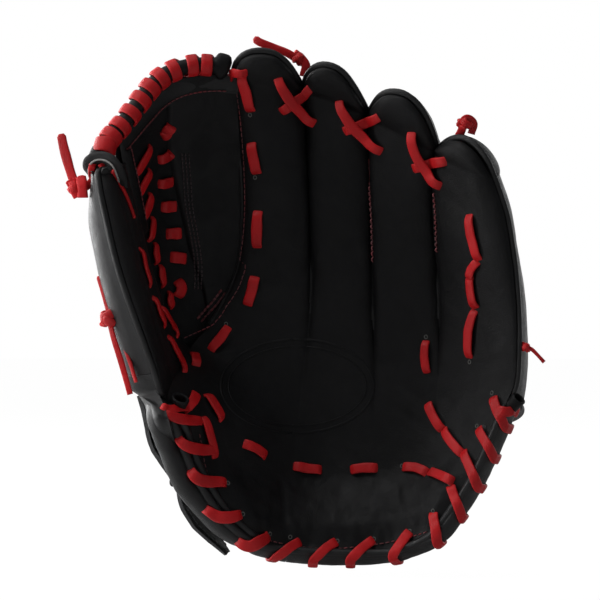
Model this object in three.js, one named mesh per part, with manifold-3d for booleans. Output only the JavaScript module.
// Fielder's glove worn on the left hand: padded leather stalls, laced web, heel roll, wrist strap.
// Frame: +Z up the fingers, +X towards the little finger, the pocket faces -Y. Millimetres.
// The glove opens and closes about two fold lines in the palm, so each leather that crosses a
// fold is cut there into a thumb-side, a centre and a little-side solid.
import * as THREE from "three";
import { mergeVertices } from "three/addons/utils/BufferGeometryUtils.js";
import Module from "manifold-3d";

const wasm = await Module();
wasm.setup();

// ---------- driving dimensions ----------
const LEATHER = 2.5; // shell leather
const LINING = 1.2; // hand lining
const LACE_WIDTH = 6;
const LACE_THICK = 1.6;
const LACE_LIFT = 1.8; // middle of a lace over the leather it crosses
const LACE_DEPTH = 3.9; // middle of a lace behind that surface where it is hidden
const HOLE_CLEAR = 0.5;
const FRONT_LIFT = 0.6; // front shell stands this far in front of the seam surface
const BACK_DROP = 4.4; // finger backs start this far behind it
const FINGER_FRONT = 8.5; // crown of a finger front over its seams
const FINGER_BACK = 14; // crown of a finger back
const THUMB_FRONT = 6;
const THUMB_BACK = 15; // crown of the thumb back at the tip
const THUMB_BACK_GAIN = 10; // added to it towards the palm
const HAND_DEPTH = 50; // depth of the hand compartment behind the palm
const STRAP_BACK = 65; // outer face of the wrist strap
const FOLD_GAP = 1.2; // half the gap left at a fold line
const STRIP_WIDTH = 42; // nominal width of one strip between seams
const FOLD_SHARE = FOLD_GAP / STRIP_WIDTH;
const WELT_THICK = 1.5;
const WELT_DEPTH = (BACK_DROP + LEATHER - FRONT_LIFT) / 2; // midway between front and back leathers
const STAY_THICK = 2.5;
const PAD_DEPTH = 5.4; // front of the pads behind the seam surface
const PAD_THICK = 4.5;
const LINING_DEPTH = 11.3;

// Lace places are given as projected on the plane y = 0 from a point this far in front, this high.
const VIEW_FROM = 1600;
const VIEW_UP = 158;
// Moves the middle of the underside to the frame's origin.
const TO_ORIGIN = [-0.16, -2.46, 5.76];

// ---------- measured outlines, [x, y, z] ----------
// Seam columns, finger tips to heel. In order: index edge and palm edge, index/middle,
// middle/ring, ring/little, little edge.
const SEAMS = [
  [[-40, -6, 289.5], [-37.8, 2, 266.1], [-35.6, 8, 239.4], [-34.5, 13, 206.4],
    [-37.6, 17, 176.2], [-51.6, 18, 147.1], [-66.5, 12, 127.8], [-78.5, -38, 98.3],
    [-70.4, -36, 70], [-60.5, -33, 48.1], [-46, -28, 27.1], [-29.6, -22, 13]],
  [[2.4, 2, 283], [3.6, 7, 260.4], [4.8, 10, 233.5], [6, 13, 203.4],
    [6.7, 15, 170.1], [4.8, 16, 136.8], [1.2, 16, 106.5], [-1.8, 14, 79.3],
    [-3.6, 9, 55.4], [-4.8, 2, 34.8], [-6, -6, 19.3], [-7.1, -14, 8.1]],
  [[40.8, 0, 269], [41.5, 4, 248.2], [42.2, 7, 224.3], [42.8, 9, 197.2],
    [43.5, 10, 167.1], [44.1, 10, 136.9], [44.7, 10, 106.7], [44.6, 9, 79.6],
    [44.6, 6, 55.6], [44.4, 0, 35], [43.6, -7, 19.4], [41.6, -15, 6.4]],
  [[81.6, -12, 247.3], [80.1, -6, 228.5], [80.2, -3, 208.9], [81.6, 0, 185],
    [82.8, 0, 159.8], [83.3, -1, 134], [82.7, -2, 108.9], [80.8, -4, 86.2],
    [78.8, -8, 63.7], [76.2, -12, 44.9], [71.3, -16, 27.3], [62.2, -20, 9.9]],
  [[113.3, -34, 229.6], [120.2, -36, 207.9], [123.7, -37, 187.3], [126, -37, 166.8],
    [127.2, -37, 146.3], [127.2, -37, 127.5], [126.1, -36, 109.9], [121.5, -35, 97.6],
    [112.8, -34, 75.8], [103.5, -32, 55.1], [91.3, -29, 35.5], [77.9, -26, 18.1]],
].map(vectors);
// Fingertip outlines, index to little, each from its thumb-side seam to its little-side seam.
const TIPS = [
  [[-40, -6, 289.5], [-38.1, -12, 298.5], [-32.7, -16, 304.1], [-23.7, -18, 306.3],
    [-13.6, -18, 303.9], [-4.8, -13, 296.1], [2.4, 2, 283]],
  [[2.4, 2, 283], [3.6, -6, 291.3], [8.3, -13, 296.7], [15.4, -17, 298.1],
    [24.9, -18, 293.9], [33.9, -13, 282.4], [40.8, 0, 269]],
  [[40.8, 0, 269], [43.6, -8, 275], [47.5, -16, 279.8], [54.4, -22, 281.7],
    [64.3, -26, 278.4], [74.5, -24, 266.2], [81.6, -12, 247.3]],
  [[81.6, -12, 247.3], [84.8, -18, 251.1], [89.2, -24, 253.7], [95.4, -30, 254],
    [102.2, -34, 249.6], [108.5, -36, 241.3], [113.3, -34, 229.6]],
].map(vectors);
// Thumb stall: seam beside the web, outer seam, and tip outline from one to the other.
const THUMB_WEB_SEAM = vectors([
  [-106.2, -27, 235.9], [-102.9, -23, 224.2], [-99, -19, 211.4], [-94.6, -14, 193.7],
  [-90.1, -9, 175.9], [-84.4, -3, 158], [-78.2, 4, 141.2], [-71.2, 9, 132.7], [-66.5, 12, 127.8],
]);
const THUMB_OUTER_SEAM = vectors([
  [-115.6, -58, 232], [-113.7, -61, 220.3], [-110.7, -62, 207], [-107.2, -63, 191.4],
  [-102.7, -62, 174.1], [-96.5, -59, 155.1], [-89.9, -54, 136], [-83.3, -47, 116.1],
  [-78.5, -38, 98.3],
]);
const THUMB_TIP = vectors([
  [-106.2, -27, 235.9], [-106.4, -32, 239.1], [-108.2, -40, 240.5],
  [-111.1, -49, 239.4], [-114.1, -55, 236.8], [-115.6, -58, 232],
]);
// Shares per seam row, tips to heel: finger front crown, hand compartment, finger back crown.
const FRONT_SHARE = [1, 1, 0.95, 0.8, 0.52, 0.26, 0.12, 0.04, 0, 0, 0, 0];
const HAND_SHARE = [0.02, 0.05, 0.1, 0.22, 0.42, 0.68, 0.88, 1, 1, 0.9, 0.7, 0.5];
const BACK_SHARE = [1, 1, 1, 1, 0.85, 0.5, 0.22, 0.08, 0, 0, 0, 0];
// Where the thumb fold crosses each seam row, as a fraction of the first strip.
const THUMB_FOLD = [0, 0, 0, 0.06, 0.2, 0.46, 0.64, 0.77, 0.795, 0.81, 0.815, 0.78];
const LITTLE_FOLD = 2; // the other fold follows the middle/ring seam

// ---------- numbers and vectors ----------
function vector(coords) {
  return new THREE.Vector3(...coords);
}
function vectors(list) {
  return list.map(vector);
}
const clamp = (value, low, high) => Math.min(high, Math.max(low, value));
const mix = (from, to, share) => from.clone().lerp(to, share);
const smooth = (t) => t * t * (3 - 2 * t);
const evenly = (from, to, steps) =>
  Array.from({ length: steps + 1 }, (_, i) => from + ((to - from) * i) / steps);
// Rounded profile: 1 in the middle, 0 at -1 and 1.
const dome = (s, power = 2.6) => Math.pow(Math.max(0, 1 - Math.pow(Math.abs(s), power)), 0.55);

function segmentAt(list, place) {
  const last = list.length - 1;
  const at = clamp(place, 0, last);
  const i = Math.min(last - 1, Math.floor(at));
  return [i, at - i];
}
function tableAt(list, place) {
  const [i, t] = segmentAt(list, place);
  return list[i] + (list[i + 1] - list[i]) * t;
}
function curveAt(list, place) { // uniform Catmull-Rom through a list of vectors
  const [i, t] = segmentAt(list, place);
  const mirrored = (about, other) => about.clone().multiplyScalar(2).sub(other);
  const start = list[i];
  const end = list[i + 1];
  const before = i > 0 ? list[i - 1] : mirrored(start, end);
  const after = i + 2 < list.length ? list[i + 2] : mirrored(end, start);
  const out = new THREE.Vector3();
  for (const axis of ["x", "y", "z"]) {
    const [a, b, c, d] = [before[axis], start[axis], end[axis], after[axis]];
    out[axis] = 0.5 * (2 * b + (c - a) * t + (2 * a - 5 * b + 4 * c - d) * t * t
      + (3 * b - a - 3 * c + d) * t * t * t);
  }
  return out;
}
function surfaceNormal(point, across, along, acrossMax, alongMax) {
  const step = 0.02;
  const acrossDir = point(clamp(across + step, 0, acrossMax), along)
    .sub(point(clamp(across - step, 0, acrossMax), along));
  const alongDir = point(across, clamp(along + step, 0, alongMax))
    .sub(point(across, clamp(along - step, 0, alongMax)));
  return alongDir.cross(acrossDir).normalize();
}

// ---------- surfaces of the fingers and palm ----------
// On the seam surface "across" runs over the fingers (0 to 4), "along" from tips to heel (0 to 11).
function seamPoint(across, along) {
  return curveAt(SEAMS.map((seam) => curveAt(seam, along)), across);
}
const seamNormal = (across, along) => surfaceNormal(seamPoint, across, along, 4, 11);
const behindSeams = (across, along, depth) =>
  seamPoint(across, along).addScaledVector(seamNormal(across, along), -depth);

function stripPosition(across) { // -1 to 1 over one finger
  return 2 * (across - Math.min(3, Math.floor(across + 1e-9))) - 1;
}
function palmFront(across, along) {
  const crown = FINGER_FRONT * tableAt(FRONT_SHARE, along) * dome(stripPosition(across));
  return behindSeams(across, along, -(FRONT_LIFT + crown));
}
function backDepth(across, along) {
  const hand = HAND_DEPTH * tableAt(HAND_SHARE, along) * dome((across - 2) / 2, 3);
  return hand + FINGER_BACK * tableAt(BACK_SHARE, along) * dome(stripPosition(across), 2.4);
}
const backSurface = (across, along) =>
  behindSeams(across, along, BACK_DROP + backDepth(across, along));

// Stalls' tip caps: "across" 0 to 1 over the finger, "rise" 0 to 1 from the first row to the outline.
const capDome = (across, rise) => dome(2 * across - 1) * dome(rise, 2.2);
function capPoint(finger, across, rise, height) {
  const base = mix(seamPoint(finger + across, 0), curveAt(TIPS[finger], across * 6), rise);
  const normal = mix(
    seamNormal(finger + across, 0), seamNormal(finger + 0.5, 0.3), Math.min(1, rise * 2),
  ).normalize();
  return base.addScaledVector(normal, height);
}
const capFront = (finger, across, rise) =>
  capPoint(finger, across, rise, FRONT_LIFT + FINGER_FRONT * capDome(across, rise));
const capBack = (finger, across, rise) => capPoint(
  finger, across, rise, -(BACK_DROP + backDepth(finger + across, 0) * dome(rise, 2.2)),
);

// ---------- surfaces of the thumb ----------
// "across" runs from the web seam to the outer seam, "along" from the tip to the palm, both 0 to 1.
function thumbPoint(across, along) {
  const webSide = curveAt(THUMB_WEB_SEAM, along * 8);
  const point = mix(webSide, curveAt(THUMB_OUTER_SEAM, along * 8), across);
  const root = mix(THUMB_WEB_SEAM[8], THUMB_OUTER_SEAM[8], across);
  return point.addScaledVector(seamPoint(0, 6 + across).sub(root), Math.pow(along, 4));
}
const thumbNormal = (across, along) =>
  surfaceNormal(thumbPoint, across, along, 1, 1).multiplyScalar(-1);
const overThumb = (across, along, height) =>
  thumbPoint(across, along).addScaledVector(thumbNormal(across, along), height);
function thumbFront(across, along) {
  if (along >= 0.999) return palmFront(0, 6 + across); // meets the palm edge exactly
  const crown = THUMB_FRONT * dome(2 * across - 1) * (1 - Math.pow(along, 3));
  return overThumb(across, along, FRONT_LIFT + crown);
}
function thumbBack(across, along) {
  const depth = THUMB_BACK + THUMB_BACK_GAIN * along * along;
  return overThumb(across, along, -(BACK_DROP + depth * dome(2 * across - 1, 2.4)));
}
const thumbCap = (across, rise, height) =>
  mix(thumbPoint(across, 0), curveAt(THUMB_TIP, across * 5), rise)
    .addScaledVector(thumbNormal(across, 0), height);
const thumbCapFront = (across, rise) =>
  thumbCap(across, rise, FRONT_LIFT + THUMB_FRONT * capDome(across, rise));
const thumbCapBack = (across, rise) =>
  thumbCap(across, rise, -(BACK_DROP + THUMB_BACK * capDome(across, rise)));

// ---------- making solids ----------
function triangleGeometry(points, tris) {
  const array = new Float32Array(tris.length * 9);
  tris.flat().forEach((id, k) => points[id].toArray(array, k * 3));
  return new THREE.BufferGeometry().setAttribute("position", new THREE.BufferAttribute(array, 3));
}
function toSolid(geometry) {
  const bare = new THREE.BufferGeometry();
  bare.setAttribute("position", geometry.getAttribute("position"));
  const merged = mergeVertices(bare, 1e-3);
  const vertProperties = merged.attributes.position.array;
  const triVerts = new Uint32Array(merged.index.array);
  const build = () => new wasm.Manifold(new wasm.Mesh({ numProp: 3, vertProperties, triVerts }));
  const solid = build();
  if (solid.volume() >= 0) return solid;
  for (let i = 0; i < triVerts.length; i += 3) { // turn an inside-out solid
    [triVerts[i + 1], triVerts[i + 2]] = [triVerts[i + 2], triVerts[i + 1]];
  }
  return build();
}
function fromSolid(solid) {
  const { numVert, numProp, vertProperties, triVerts } = solid.getMesh();
  const points = [];
  for (let i = 0; i < numVert; i++) {
    points.push(vector(vertProperties.subarray(i * numProp, i * numProp + 3)));
  }
  const tris = [];
  for (let i = 0; i < triVerts.length; i += 3) {
    tris.push([triVerts[i], triVerts[i + 1], triVerts[i + 2]]);
  }
  return triangleGeometry(points, tris);
}

class Sheet { // open surface patches welded by position
  points = [];
  tris = [];
  ids = new Map();

  id(point) {
    const key = point.toArray().map((x) => Math.round(x * 200)).join(",");
    if (!this.ids.has(key)) {
      this.ids.set(key, this.points.length);
      this.points.push(point.clone());
    }
    return this.ids.get(key);
  }
  tri(a, b, c) {
    if (a !== b && b !== c && a !== c) this.tris.push([a, b, c]);
  }
  grid(surface, columns, rows, flip = false) {
    const ids = rows.map((row) => columns.map((column) => this.id(surface(column, row))));
    for (let j = 0; j + 1 < rows.length; j++) {
      for (let i = 0; i + 1 < columns.length; i++) {
        const [a, b, c, d] = [ids[j][i], ids[j][i + 1], ids[j + 1][i + 1], ids[j + 1][i]];
        if (flip) {
          this.tri(a, c, b);
          this.tri(a, d, c);
        } else {
          this.tri(a, b, c);
          this.tri(a, c, d);
        }
      }
    }
    return this;
  }
  // closed solid between the surface and the surface moved by the thickness against its normals
  solid(thickness) {
    const normals = this.points.map(() => new THREE.Vector3());
    for (const [a, b, c] of this.tris) {
      const start = this.points[a];
      const face = this.points[b].clone().sub(start).cross(this.points[c].clone().sub(start));
      for (const id of [a, b, c]) normals[id].add(face);
    }
    normals.forEach((normal) => normal.normalize());
    const inner = this.points.map((p, i) => p.clone().addScaledVector(normals[i], -thickness));
    const shift = inner.length;
    const tris = [];
    const edges = new Map();
    for (const [a, b, c] of this.tris) {
      tris.push([a, b, c], [a + shift, c + shift, b + shift]);
      for (const [from, to] of [[a, b], [b, c], [c, a]]) edges.set(`${from}_${to}`, [from, to]);
    }
    for (const [from, to] of edges.values()) {
      if (edges.has(`${to}_${from}`)) continue;
      tris.push([from, from + shift, to + shift], [from, to + shift, to]);
    }
    return toSolid(triangleGeometry([...this.points, ...inner], tris));
  }
}

// Solid through rings of points, capped at both ends or closed on itself.
function loft(points, perRing, closed = false) {
  const rings = points.length / perRing;
  const tris = [];
  for (let i = 0; i < (closed ? rings : rings - 1); i++) {
    const here = i * perRing;
    const there = ((i + 1) % rings) * perRing;
    for (let j = 0; j < perRing; j++) {
      const next = (j + 1) % perRing;
      tris.push([here + j, here + next, there + next], [here + j, there + next, there + j]);
    }
  }
  if (!closed) {
    const last = (rings - 1) * perRing;
    for (let j = 1; j + 1 < perRing; j++) tris.push([0, j + 1, j]);
    for (let j = 1; j + 1 < perRing; j++) tris.push([last, last + j, last + j + 1]);
  }
  return toSolid(triangleGeometry(points, tris));
}
const CORNERS = [[-1, -1], [1, -1], [1, 1], [-1, 1]];
// Flat strap swept along a path; its width lies along each side vector. "grow" enlarges it all round.
function strap(path, sides, width, thickness, grow = 0) {
  const last = path.length - 1;
  const corners = [];
  path.forEach((point, i) => {
    const into = i ? point.clone().sub(path[i - 1]) : path[1].clone().sub(point);
    const out = i < last ? path[i + 1].clone().sub(point) : into.clone();
    const tangent = into.normalize().add(out.normalize()).normalize();
    const side = sides[i].clone().addScaledVector(tangent, -sides[i].dot(tangent)).normalize();
    const normal = tangent.clone().cross(side);
    const centre = point.clone();
    if (i === 0) centre.addScaledVector(tangent, -grow);
    if (i === last) centre.addScaledVector(tangent, grow);
    for (const [x, y] of CORNERS) {
      corners.push(centre.clone()
        .addScaledVector(side, x * (width / 2 + grow))
        .addScaledVector(normal, y * (thickness / 2 + grow)));
    }
  });
  return loft(corners, 4);
}

// ---------- finding a place on the glove from its projection ----------
function project(point) {
  const scale = 1 + point.y / VIEW_FROM;
  return [point.x / scale, VIEW_UP + (point.z - VIEW_UP) / scale];
}
// Returns a function from projected x and z to the nearest surface point and its normal.
function locator(surface, normal, acrossMax, alongMax) {
  const columns = 32;
  const rows = 44;
  const samples = evenly(0, acrossMax, columns).flatMap((across) =>
    evenly(0, alongMax, rows).map((along) => (
      { across, along, place: project(surface(across, along)) })));
  return (x, z) => {
    const missAt = (place) => (place[0] - x) ** 2 + (place[1] - z) ** 2;
    let best = { miss: Infinity };
    for (const { across, along, place } of samples) {
      const miss = missAt(place);
      if (miss < best.miss) best = { miss, across, along };
    }
    let acrossStep = acrossMax / columns;
    let alongStep = alongMax / rows;
    for (let k = 0; k < 26; k++) {
      let moved = false;
      for (const [i, j] of [[1, 0], [-1, 0], [0, 1], [0, -1]]) {
        const across = clamp(best.across + i * acrossStep, 0, acrossMax);
        const along = clamp(best.along + j * alongStep, 0, alongMax);
        const miss = missAt(project(surface(across, along)));
        if (miss < best.miss) {
          best = { miss, across, along };
          moved = true;
          break;
        }
      }
      if (!moved) {
        acrossStep /= 2;
        alongStep /= 2;
      }
    }
    const { across, along } = best;
    return { point: surface(across, along), normal: normal(across, along) };
  };
}

// ---------- materials and parts list ----------
const material = (settings) => new THREE.MeshStandardMaterial({ metalness: 0, ...settings });
const BLACK_LEATHER = material({ color: 0x17181a, roughness: 0.55 });
const RED_LACE = material({ color: 0xb0181c, roughness: 0.6 });
const FELT = material({ color: 0xcfcabd, roughness: 0.95 });
const DARK_LINING = material({ color: 0x2a2a2c, roughness: 0.8 });
const FLEECE = material({ color: 0x3a3a3c, roughness: 1 });
const PLASTIC = material({ color: 0x101010, roughness: 0.4 });

const parts = [];
const laceCutters = [];
// "holed" parts get holes wherever a lace passes through them.
function addPart(name, solid, { skin = BLACK_LEATHER, holed = true } = {}) {
  parts.push({ name, solid, skin, holed });
}
function addLace(name, solid, cutter) {
  addPart(name, solid, { skin: RED_LACE, holed: false });
  laceCutters.push(cutter);
}

// ---------- front shell ----------
const SHELL_COLUMNS = [0, 0.11, 0.34, 0.66, 0.89, 1];
const SHELL_ROWS = [0, 1, 2, 3, 4, 4.8, 5.5, 6.2, 7, 8, 9, 10, 11];
const THUMB_SIDE_ROWS = [3.4, 4, 4.6, 5.2, 5.7, 6, 6.25, 6.5, 6.75, 7, 7.8, 8.6, 9.4, 10.2, 11];
const CAP_ROWS = [0, 0.4, 0.72, 0.92, 1];

// Edge of a leather at the thumb fold; side is -1 towards the thumb, 1 towards the centre.
const foldEdge = (along, side) => clamp(tableAt(THUMB_FOLD, along) + side * FOLD_SHARE, 0, 4);
const centreEdge = (along) => foldEdge(along, 1);

function fingerFronts(strips) {
  const sheet = new Sheet();
  for (const { finger, columns, across = (column) => finger + column } of strips) {
    const surface = (column, along) => palmFront(across(column, along), along);
    sheet.grid(surface, columns, SHELL_ROWS, true);
  }
  for (const { finger, columns } of strips) {
    sheet.grid((column, rise) => capFront(finger, column, rise), columns, CAP_ROWS);
  }
  return sheet.solid(LEATHER);
}
function fromThumbFold(column, along) {
  const edge = foldEdge(along, along < 2.6 ? 0 : 1); // no gap up the index finger
  return edge + (1 - edge) * column;
}
function thumbSideShell() {
  const columns = evenly(0, 1, 4);
  const palm = (column, along) => palmFront(foldEdge(along, -1) * column, along);
  return new Sheet()
    .grid(palm, columns, THUMB_SIDE_ROWS, true)
    .grid(thumbFront, columns, evenly(0, 1, 9))
    .grid(thumbCapFront, columns, [0, 0.4, 0.75, 0.93, 1], true)
    .solid(LEATHER);
}
addPart("palm_shell_centre", fingerFronts([
  { finger: 0, columns: SHELL_COLUMNS, across: fromThumbFold },
  { finger: 1, columns: SHELL_COLUMNS.map((c) => (c === 1 ? 1 - FOLD_SHARE : c)) },
]));
addPart("palm_shell_little_side", fingerFronts([
  { finger: 2, columns: SHELL_COLUMNS.map((c) => (c === 0 ? FOLD_SHARE : c)) },
  { finger: 3, columns: SHELL_COLUMNS },
]));
addPart("palm_shell_thumb_side", thumbSideShell());

// ---------- padding and lining behind the palm ----------
// Sheet between two edges, each a fixed place across or a function of the place along.
function spanSheet(surface, from, to, columns, rows, flip) {
  const edgeAt = (edge, along) => (typeof edge === "function" ? edge(along) : edge);
  return new Sheet().grid((column, along) => {
    const start = edgeAt(from, along);
    return surface(start + (edgeAt(to, along) - start) * column, along);
  }, evenly(0, 1, columns), rows, flip);
}
function addLayers(depth, thickness, layers) {
  const surface = (across, along) => behindSeams(across, along, depth);
  for (const { name, skin, from, to, along: [top, bottom], grid: [columns, rows] } of layers) {
    const sheet = spanSheet(surface, from, to, columns, evenly(top, bottom, rows), true);
    addPart(name, sheet.solid(thickness), { skin });
  }
}
addLayers(PAD_DEPTH, PAD_THICK, [
  { name: "palm_felt_pad", skin: FELT, along: [4.6, 9.6], grid: [4, 5],
    from: (along) => centreEdge(along) + 0.04, to: LITTLE_FOLD - 0.06 },
  { name: "heel_pad_thumb_side", skin: FELT, along: [7.4, 9.8], grid: [3, 3],
    from: 0.3, to: (along) => foldEdge(along, -1) - 0.05 },
  { name: "heel_pad_little_side", skin: FELT, along: [7.4, 9.8], grid: [3, 3],
    from: 2.1, to: 3.6 },
]);
addLayers(LINING_DEPTH, LINING, [
  { name: "palm_lining_centre", skin: DARK_LINING, along: [4.6, 10.5], grid: [4, 5],
    from: (along) => centreEdge(along) + 0.03, to: LITTLE_FOLD - 0.05 },
  { name: "palm_lining_thumb_side", skin: DARK_LINING, along: [5.6, 9.8], grid: [3, 5],
    from: 0.3, to: (along) => foldEdge(along, -1) - 0.04 },
  { name: "palm_lining_little_side", skin: DARK_LINING, along: [4.6, 9.6], grid: [4, 5],
    from: 2.06, to: 3.6 },
]);

// ---------- finger and thumb backs ----------
const BACK_COLUMNS = [0.045, 0.13, 0.3, 0.5, 0.7, 0.87, 0.955];
const THUMB_BACK_COLUMNS = [0.05, 0.13, 0.3, 0.5, 0.7, 0.87, 0.95];

["index", "middle", "ring", "little"].forEach((name, finger) => {
  const sheet = new Sheet()
    .grid((column, along) => backSurface(finger + column, along), BACK_COLUMNS, evenly(0, 4.7, 6))
    .grid((column, rise) => capBack(finger, column, rise), BACK_COLUMNS, CAP_ROWS, true);
  addPart(`${name}_finger_back`, sheet.solid(LEATHER));
});
addPart("thumb_back", new Sheet()
  .grid(thumbBack, THUMB_BACK_COLUMNS, evenly(0, 0.93, 7), true)
  .grid(thumbCapBack, THUMB_BACK_COLUMNS, [0, 0.4, 0.75, 0.94, 1])
  .solid(LEATHER));

// stiffeners held inside the thumb and little stalls
function addStay(name, surface, columns, rows) {
  const solid = new Sheet().grid(surface, columns, rows, true).solid(STAY_THICK);
  addPart(name, solid, { skin: PLASTIC, holed: false });
}
addStay("thumb_stay", (across, along) => overThumb(across, along, -6.5),
  [0.25, 0.5, 0.75], evenly(0.06, 0.86, 6));
addStay("little_finger_stay", (column, along) => behindSeams(3 + column, along, 7),
  [0.4, 0.6, 0.8], evenly(0.4, 6.2, 7));

// ---------- back of the hand ----------
// Outer face of the thumb-side piece: rows downwards, each from the thumb edge to the fold.
const HAND_BACK_THUMB_SIDE = [
  [[-68, 33, 131], [-50, 47, 142], [-28.7, 52.3, 147]],
  [[-80, 26, 117], [-56, 48, 122], [-27.5, 57.2, 127]],
  [[-88, 16, 104], [-62, 42, 100], [-38, 51.5, 91]],
  [[-88, 12, 94], [-67, 35.5, 85], [-49, 43.6, 76.5]],
].map(vectors);
const handBack = (from, to) =>
  spanSheet(backSurface, from, to, 8, evenly(4.85, 6.9, 4), false).solid(LEATHER);

addPart("hand_back_thumb_side", new Sheet().grid(
  (column, row) => curveAt(HAND_BACK_THUMB_SIDE.map((points) => curveAt(points, column)), row),
  evenly(0, 2, 4), evenly(0, 3, 4),
).solid(LEATHER));
addPart("hand_back_centre", handBack(centreEdge, LITTLE_FOLD - FOLD_SHARE));
addPart("hand_back_little_side", handBack(LITTLE_FOLD + FOLD_SHARE, 3.97));

// ---------- wrist strap across the back, and its fleece ----------
// Upright band round the hand; stations of its outer face are [x, y, bottom, top].
function band(stations, thickness) {
  const corners = [];
  stations.forEach(([x, y, bottom, top], i) => {
    const before = stations[Math.max(0, i - 1)];
    const after = stations[Math.min(stations.length - 1, i + 1)];
    const run = new THREE.Vector2(after[0] - before[0], after[1] - before[1]).normalize();
    for (const [inset, z] of [[0, bottom], [thickness, bottom], [thickness, top], [0, top]]) {
      corners.push(new THREE.Vector3(x + run.y * inset, y - run.x * inset, z));
    }
  });
  return loft(corners, 4);
}
addPart("wrist_strap_little_end", band([
  [57.8, 61.2, 38, 66], [83, 52, 41, 70], [106, 36.5, 46, 74], [124, 10, 54, 80],
  [130, -11, 60, 84],
], LEATHER));
addPart("wrist_strap_centre", band([
  [-31, 54.5, 38, 67], [-6, STRAP_BACK, 36, 66], [41, STRAP_BACK, 36, 66], [55.2, 62.1, 37, 66],
], LEATHER));
addPart("wrist_strap_thumb_end", band([
  [-84, 11, 60, 86], [-74, 24, 52, 79], [-54, 41.5, 44, 72], [-33.5, 53.2, 39, 68],
], LEATHER));
addPart("wrist_fleece", band([
  [-26, 52.2, 34, 70], [-5, 61.6, 33, 69], [41, 61.6, 33, 69], [52, 59.3, 34, 69],
], 3.5), { skin: FLEECE });

// ---------- welts: seam strips between the fronts and the backs ----------
// "shift" moves a welt sideways from its seam, positive in the outward direction.
function addWelt(name, { surface, normalAt, across, rows, step, outwardAt, shift, width }) {
  const path = [];
  const sides = [];
  for (const along of rows) {
    const point = surface(across, along);
    const normal = normalAt(across, along);
    const tangent = surface(across, along + step).sub(point).normalize();
    const side = normal.clone().cross(tangent).normalize();
    if (side.dot(outwardAt(along)) < 0) side.negate();
    path.push(point.addScaledVector(normal, -WELT_DEPTH).addScaledVector(side, shift));
    sides.push(side);
  }
  addPart(name, strap(path, sides, width, WELT_THICK));
}
const FINGER_WELT = {
  surface: seamPoint, normalAt: seamNormal, step: 0.1, outwardAt: () => vector([1, 0, 0]),
};
const THUMB_WELT = {
  surface: thumbPoint, normalAt: thumbNormal, step: 0.02,
  outwardAt: (along) => thumbPoint(1, along).sub(thumbPoint(0, along)),
};
for (const [name, base, across, shift, width, rows] of [
  ["index_web_welt", FINGER_WELT, 0, -0.8, 5, evenly(0.1, 4.4, 7)],
  ["index_middle_welt", FINGER_WELT, 1, 0, 6, evenly(0.1, 4.5, 6)],
  ["middle_ring_welt", FINGER_WELT, 2, -3.6, 4, evenly(0.1, 4.5, 6)],
  ["ring_little_welt", FINGER_WELT, 3, 0, 6, evenly(0.1, 4.5, 6)],
  ["little_outer_welt", FINGER_WELT, 4, 0.8, 5, evenly(0.1, 6.7, 9)],
  ["thumb_web_welt", THUMB_WELT, 0, -0.2, 4, evenly(0.22, 0.8, 5)],
  ["thumb_outer_welt", THUMB_WELT, 1, 0.8, 5, evenly(0.02, 0.9, 7)],
]) addWelt(name, { ...base, across, shift, width, rows });

// ---------- web ----------
// "across" runs from the thumb to the index finger, "down" from the crown to the crotch, 0 to 1.
const CROWN = new THREE.CatmullRomCurve3(vectors([
  [-113, -40, 250], [-103.8, -33, 262], [-94, -26, 276], [-85.3, -21, 287],
  [-75.2, -17, 294], [-62, -14, 297.6], [-48, -12, 297.2],
]));
const WEB_DROP = 9; // web edges lie this far behind the seams
const WEB_SAG = 14.95;
const SAG_DIRECTION = vector([-0.25, 0.95, 0]);

const webThumbEdge = (down) =>
  overThumb(0, 0.03 + 0.9 * down, -WEB_DROP).add(vector([5.2, 1.4, 0]));
const webIndexEdge = (down) =>
  behindSeams(0, 0.3 + 5 * down, WEB_DROP).add(vector([-4.5 - 6 * down * down, 0, 0]));
const webTop = (across) => CROWN.getPointAt(0.08 + 0.88 * across).add(vector([1.5, 2, -12]));
function webBase(across, down) {
  const point = mix(webThumbEdge(down), webIndexEdge(down), across);
  const toCrown = webTop(across).sub(mix(webThumbEdge(0), webIndexEdge(0), across));
  point.addScaledVector(toCrown, Math.pow(1 - down, 1.6));
  const sag = WEB_SAG * Math.sin(Math.PI * across) * smooth(clamp(down * 2.2, 0, 1))
    * (1 - 0.75 * down * down * down);
  return point.addScaledVector(SAG_DIRECTION, sag);
}
const webNormal = (across, down) => surfaceNormal(webBase, across, down, 1, 1);
const webFacing = (across, down) =>
  webBase(across, down).addScaledVector(webNormal(across, down), 2.9);

addPart("web_panel", new Sheet()
  .grid(webBase, evenly(0.05, 0.97, 7), evenly(0.02, 0.95, 8), true).solid(2.4));
// second layer in front of the index side of the web
addPart("web_facing", new Sheet()
  .grid(webFacing, evenly(0.52, 0.95, 3), evenly(0.05, 0.9, 7), true).solid(2));

// Padded tube along the top of the web, oval in section
const CROWN_RADIUS = 5.6;
const CROWN_OVAL = 1.2; // height over depth
const CROWN_SIDES = 8;
const WRAP_TURNS = 9;
const WRAP_STEPS = 7; // per turn
const WRAP_LIFT = 2;

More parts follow.
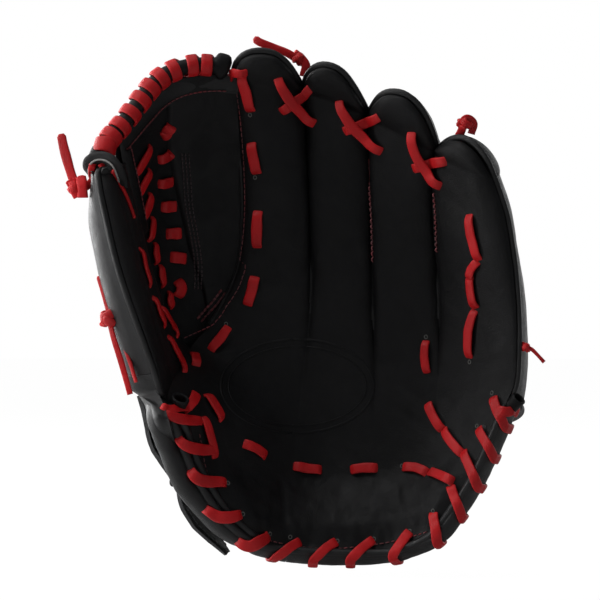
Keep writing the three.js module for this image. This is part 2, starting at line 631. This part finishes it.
function crownPoint(share, angle, depth, height) {
  const tangent = CROWN.getTangentAt(share);
  const backward = vector([0, 1, 0]).addScaledVector(tangent, -tangent.y).normalize();
  return CROWN.getPointAt(share)
    .addScaledVector(backward, depth * Math.cos(angle))
    .addScaledVector(tangent.clone().cross(backward), height * Math.sin(angle));
}
const crownRings = (shares, radius) => shares.flatMap((share) =>
  Array.from({ length: CROWN_SIDES }, (_, j) =>
    crownPoint(share, (2 * Math.PI * j) / CROWN_SIDES, radius, CROWN_OVAL * radius)));
function crownWrap() {
  const path = [];
  const sides = [];
  const steps = WRAP_TURNS * WRAP_STEPS;
  for (let i = 0; i <= steps; i++) {
    const share = 0.155 + (0.75 * i) / steps;
    const angle = (2 * Math.PI * i) / WRAP_STEPS + 0.3;
    path.push(crownPoint(
      share, angle, CROWN_RADIUS + WRAP_LIFT, CROWN_OVAL * CROWN_RADIUS + WRAP_LIFT,
    ));
    sides.push(CROWN.getTangentAt(share));
  }
  return strap(path, sides, 5.4, LACE_THICK);
}
addPart("web_crown", loft(crownRings(evenly(0, 1, 10), CROWN_RADIUS), CROWN_SIDES),
  { holed: false });
addPart("crown_cuff", loft([
  ...crownRings(evenly(0.01, 0.1, 2), CROWN_RADIUS + 2.8),
  ...crownRings(evenly(0.1, 0.01, 2), CROWN_RADIUS + 0.5),
], CROWN_SIDES, true), { holed: false });
addPart("web_crown_wrap_lace", crownWrap(), { skin: RED_LACE, holed: false });

// ---------- heel roll ----------
// The rim runs 0 to 12: down the thumb side of the palm, across the heel, up the little side.
function rimPlace(rim) {
  if (rim < 4) return [0, 7 + rim];
  return rim < 8 ? [rim - 4, 11] : [4, 11 - (rim - 8)];
}
function rimFrame(rim) {
  const place = rimPlace(rim);
  const before = seamPoint(...rimPlace(clamp(rim - 0.15, 0, 12)));
  const tangent = seamPoint(...rimPlace(clamp(rim + 0.15, 0, 12))).sub(before).normalize();
  const normal = seamNormal(...place);
  const outward = normal.clone().cross(tangent).normalize().multiplyScalar(-1);
  const at = (height, out) =>
    seamPoint(...place).addScaledVector(normal, height).addScaledVector(outward, out);
  return { tangent, at };
}
function heelRoll(from, to, steps) {
  const sides = 6;
  const points = evenly(from, to, steps).flatMap((rim) => {
    const { at } = rimFrame(rim);
    return Array.from({ length: sides }, (_, j) => {
      const angle = (2 * Math.PI * (j + 0.5)) / sides;
      return at(-4.4 + 5.4 * Math.cos(angle), 3.8 + 3.4 * Math.sin(angle));
    });
  });
  return loft(points, sides);
}
addPart("heel_roll_thumb_side", heelRoll(0.15, 4.74, 9));
addPart("heel_roll_centre", heelRoll(4.84, 5.95, 3));
addPart("heel_roll_little_side", heelRoll(6.05, 11.85, 11));

// ---------- laces through the leather ----------
const onPalm = locator(palmFront, seamNormal, 4, 11);
const onThumb = locator(thumbFront, thumbNormal, 1, 1);
const onWeb = locator(webBase, webNormal, 1, 1);

// Each run is a chain of surface dashes [x, z, x, z, extra lift], projected; between dashes the
// lace runs behind the leather. A bowed dash follows the surface at its middle.
const LACE_RUNS = [
  { name: "fingertip_lace_centre", on: onPalm, bowed: false, runs: [
    [[-13.2, 290.6, 8.4, 264.2, 1.4], [23.4, 276.8, 36.6, 261.8, 1.4]],
    [[-12, 270.8, 4.2, 283.4]],
    [[26.4, 259.4, 36.6, 263.6]],
  ] },
  { name: "fingertip_lace_little_side", on: onPalm, bowed: false, runs: [
    [[45.6, 251, 50.4, 245], [67.2, 258.2, 84, 226.4, 1.4]],
    [[68.4, 237.2, 87, 241.4]],
  ] },
  { name: "index_web_lace", on: onPalm, runs: [[
    [-40.8, 292.4, -32.4, 291.8], [-31.2, 288.8, -30, 270.8],
    [-28.8, 252.2, -26.4, 233], [-25.8, 210.8, -25.8, 190.4],
  ]] },
  { name: "palm_lace_thumb_side", on: onPalm, runs: [[
    [-32.4, 169.4, -36, 154.4], [-43.8, 141.2, -52.2, 128.6],
    [-56.4, 101, -46.8, 86], [-34.8, 71.6, -22.8, 65.6],
  ]] },
  { name: "palm_lace_centre", on: onPalm, runs: [[
    [-3.6, 58.4, 12.6, 56], [25.2, 56, 38.4, 56.6],
  ]] },
  { name: "palm_lace_little_side", on: onPalm, runs: [[
    [61.8, 57.2, 76.2, 54.8], [78.6, 54.2, 90.6, 49.4],
  ]] },
  { name: "little_side_lace", on: onPalm, runs: [
    [[76.8, 95.6, 85.2, 81.2], [87.6, 78.8, 96.6, 66.8], [99, 64.4, 108.6, 46.4]],
    [[107.4, 81.8, 117, 63.8], [115.8, 99.8, 119.4, 83.6]],
  ] },
  { name: "little_finger_lace", on: onPalm, runs: [[
    [101.4, 209.6, 106.2, 184.4], [105, 179.6, 103.8, 155], [103.2, 149.6, 100.8, 123.8],
  ]] },
  { name: "web_lace_inner_column", on: onWeb, runs: [[
    [-82.8, 258.8, -76.2, 258.8], [-77.4, 243.8, -84, 243.8], [-84, 228.8, -77.4, 228.8],
    [-75.6, 214.4, -82.2, 214.4], [-79.8, 198.2, -72.6, 198.2], [-69.6, 183.2, -76.8, 183.2],
  ]] },
  { name: "web_lace_outer_column", on: onWeb, runs: [[
    [-90, 249.8, -99.6, 233.6], [-90.6, 234.8, -97.2, 220.4], [-90.6, 221.6, -94.8, 206.6],
    [-88.2, 206.6, -91.2, 194], [-87, 191.6, -87, 180.2],
  ]] },
  { name: "thumb_web_lace", on: onThumb, runs: [[
    [-96, 189.2, -91.2, 166.4], [-89.4, 159.2, -84, 144.8], [-81.6, 138.2, -73.2, 123.2],
  ]] },
];
const LONG_LINK = 16; // hidden links longer than this get a middle point kept under the surface

function lacePath(on, run, bowed) {
  const path = [];
  const sides = [];
  run.forEach(([x0, z0, x1, z1, lift = 0], i) => {
    const start = on(x0, z0);
    const end = on(x1, z1);
    const middle = bowed
      ? on((x0 + x1) / 2, (z0 + z1) / 2)
      : { normal: start.normal.clone().add(end.normal).normalize() };
    const side = end.point.clone().sub(start.point).normalize().cross(middle.normal).normalize();
    const push = ({ point, normal }, height) => {
      path.push(point.clone().addScaledVector(normal, height));
      sides.push(side);
    };
    if (i > 0) {
      const [, , lastX, lastZ] = run[i - 1];
      if (Math.hypot(x0 - lastX, z0 - lastZ) > LONG_LINK) {
        push(on((lastX + x0) / 2, (lastZ + z0) / 2), -LACE_DEPTH - 0.2);
      }
    }
    push(start, -LACE_DEPTH);
    push(start, LACE_LIFT + lift);
    if (bowed) push(middle, LACE_LIFT + 0.4 + lift);
    push(end, LACE_LIFT + lift);
    push(end, -LACE_DEPTH);
  });
  return { path, sides };
}
function addStrapLace(name, paths) {
  const make = (grow) => paths
    .map(({ path, sides }) => strap(path, sides, LACE_WIDTH, LACE_THICK, grow))
    .reduce((all, next) => all.add(next));
  addLace(name, make(0), make(HOLE_CLEAR));
}
for (const { name, on, runs, bowed = true } of LACE_RUNS) {
  addStrapLace(name, runs.map((run) => lacePath(on, run, bowed)));
}

// Laces wrapped round the heel roll: [x, z of the inner hole (projected), place along the rim].
const HEEL_WRAPS = {
  heel_lace_thumb_side: [
    [-65.4, 102.2, 0.35], [-58.8, 87.8, 0.85], [-50.4, 69.8, 1.5],
    [-43.2, 50.6, 2.2], [-36, 30.8, 2.95], [-22.8, 16.4, 4.3],
  ],
  heel_lace_centre: [[0, 13.4, 5.05], [21.6, 14, 5.6]],
  heel_lace_little_side: [
    [51.6, 14, 6.2], [64.8, 19.4, 6.75], [84, 29, 7.5], [103.2, 36.8, 8.15],
  ],
};
// Section of a wrap over the roll: [height over the seam surface, distance outside the rim]
const WRAP_SECTION = [[3.2, 2.5], [-1.2, 8.6], [-7.6, 8.6], [-11.8, 2.5]];
for (const [name, wraps] of Object.entries(HEEL_WRAPS)) {
  const path = [];
  const sides = [];
  for (const [x, z, rim] of wraps) {
    const { point, normal } = onPalm(x, z);
    const { tangent, at } = rimFrame(rim);
    const turn = [
      point.clone().addScaledVector(normal, -11.5),
      point.clone().addScaledVector(normal, LACE_LIFT),
      ...WRAP_SECTION.map(([height, out]) => at(height, out)),
    ];
    path.push(...turn);
    sides.push(...turn.map(() => tangent));
  }
  addStrapLace(name, [{ path, sides }]);
}

// ---------- free lace ends, each with a knot [x, y, z, radius] ----------
function addTail(name, points, sideways, [x, y, z, radius]) {
  const path = vectors(points);
  const sides = path.map(() => vector(sideways));
  const make = (laceGrow, knotGrow) => strap(path, sides, 5, LACE_THICK, laceGrow)
    .add(toSolid(new THREE.IcosahedronGeometry(radius + knotGrow, 0).translate(x, y, z)));
  addLace(name, make(0, 0), make(0.4, 0.6));
}
addTail("index_tip_tail", [
  [-27, 0, 315], [-17, -1, 313.5], [-7, -2, 306.5], [1, -1, 301],
], [0, 1, 0.2], [0.5, 0, 300.5, 4.84]);
addTail("ring_tip_knot", [
  [97, -27, 263], [94, -25, 256], [90, -21, 249],
], [0, 1, 0.2], [98, -28, 262, 4.62]);
addTail("thumb_tip_tail", [
  [-143, -50, 254], [-140, -50, 243], [-136.5, -50, 230], [-129, -50, 221.5],
], [0, 1, 0], [-131, -50, 223, 5.06]);
addTail("thumb_side_lace", [
  [-113, -46, 178], [-111.5, -46, 158], [-109, -46, 142], [-104, -46, 118], [-98, -46, 103],
], [0, 1, 0], [-111.5, -46, 147.5, 5.06]);
addTail("little_side_tail", [
  [131, -36, 131], [137, -36, 128], [143.5, -36, 121],
], [0, 1, 0], [133, -36, 130, 3.74]);

// ---------- strap end at the thumb side of the wrist ----------
function strapEndFlap() {
  const path = vectors([
    [-95, -6, 99], [-91.5, -6, 88], [-87, -7, 78],
    [-81.5, -8, 66], [-75, -9, 52.5], [-73.2, -9, 49.5],
  ]);
  return strap(path, path.map(() => vector([0, 1, 0])), 25, 3.2);
}
// Tapering tab below the flap; stations are [x, z, width, thickness].
const TAB_Y = -7;
const TAB_STATIONS = [
  [-72.2, 46.2, 23, 3], [-67.5, 37.5, 23, 3], [-59.5, 24.8, 20, 2.8],
  [-51, 14, 15, 2.4], [-45.4, 6.6, 9, 2],
];
function strapTab() {
  const corners = TAB_STATIONS.flatMap(([x, z, width, thickness], i) => {
    const before = TAB_STATIONS[Math.max(0, i - 1)];
    const after = TAB_STATIONS[Math.min(TAB_STATIONS.length - 1, i + 1)];
    const normal = vector([before[1] - after[1], 0, after[0] - before[0]]).normalize();
    return CORNERS.map(([side, face]) => vector([x, TAB_Y + (side * width) / 2, z])
      .addScaledVector(normal, (face * thickness) / 2));
  });
  return loft(corners, 4);
}
addPart("strap_end_flap", strapEndFlap(), { holed: false });
addPart("strap_tab", strapTab(), { holed: false });

// ---------- cut lace holes, then fill the group ----------
const biggest = (solid) => solid.decompose().sort((a, b) => b.volume() - a.volume())[0];
const group = new THREE.Group();
for (const { name, solid, skin, holed } of parts) {
  const cut = holed ? laceCutters.reduce((rest, cutter) => rest.subtract(cutter), solid) : solid;
  const mesh = new THREE.Mesh(fromSolid(biggest(cut)).translate(...TO_ORIGIN), skin);
  mesh.name = name;
  group.add(mesh);
}
export default group;
